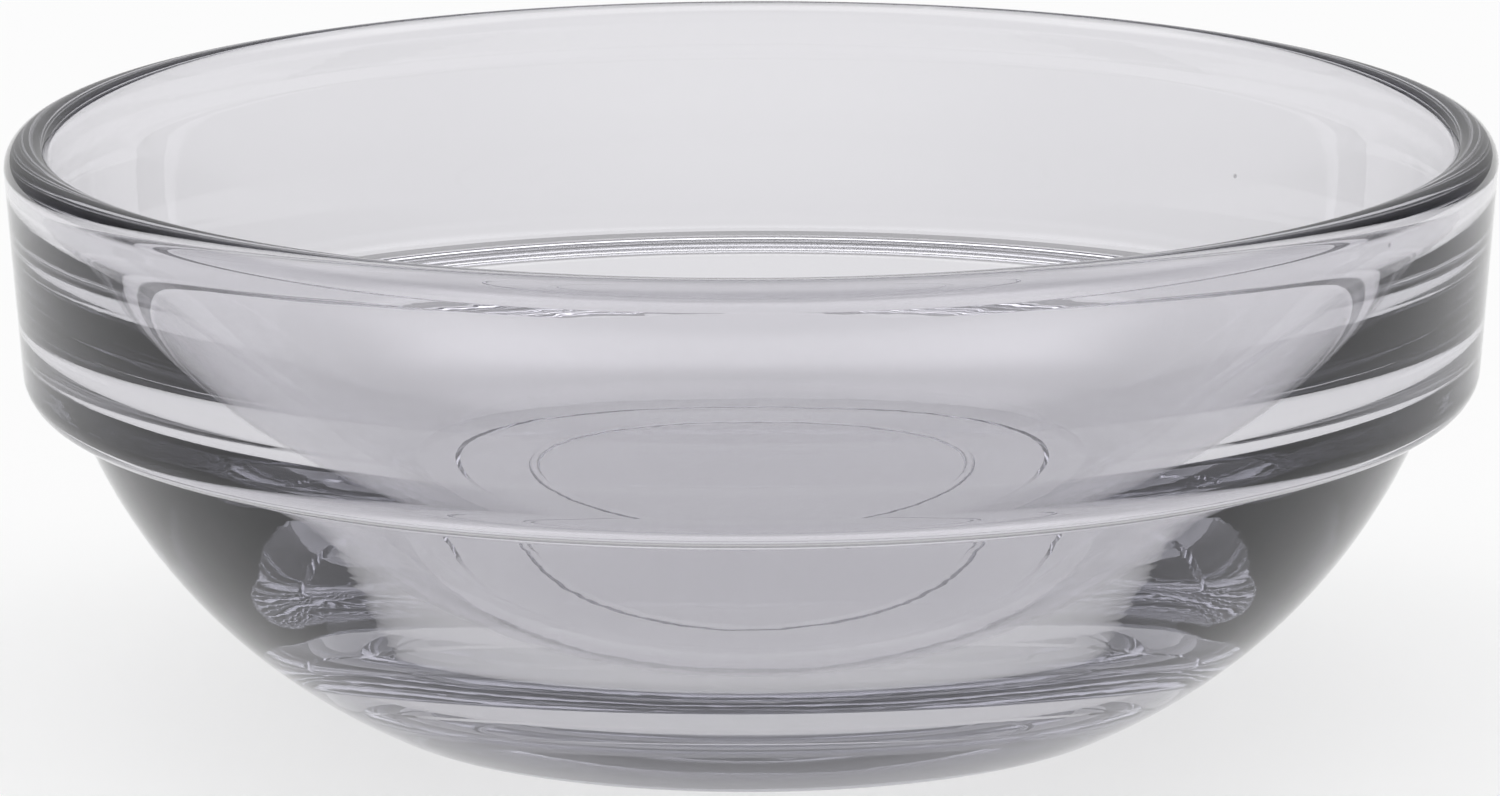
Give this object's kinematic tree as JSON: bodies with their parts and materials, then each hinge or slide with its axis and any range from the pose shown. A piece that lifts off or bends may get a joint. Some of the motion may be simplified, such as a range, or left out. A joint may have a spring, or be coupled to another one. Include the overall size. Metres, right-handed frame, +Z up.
{
  "type": "prep bowl",
  "caption": "Small round clear glass prep bowl: rounded lip, straight drafted band, stacking shoulder, curved side and a flat foot.",
  "frame": {"origin": "centre of the foot, on the surface that the bowl stands on", "axes": "+Z up out of the mouth, which is the axis the bowl is turned about; +X and +Y are alike"},
  "size_m": [0.06, 0.06, 0.0234],
  "materials": {
    "clear_glass": "clear pressed soda-lime glass, polished"
  },
  "bodies": {
    "root": {"bowl": "clear_glass"}
  },
  "joints": []
}
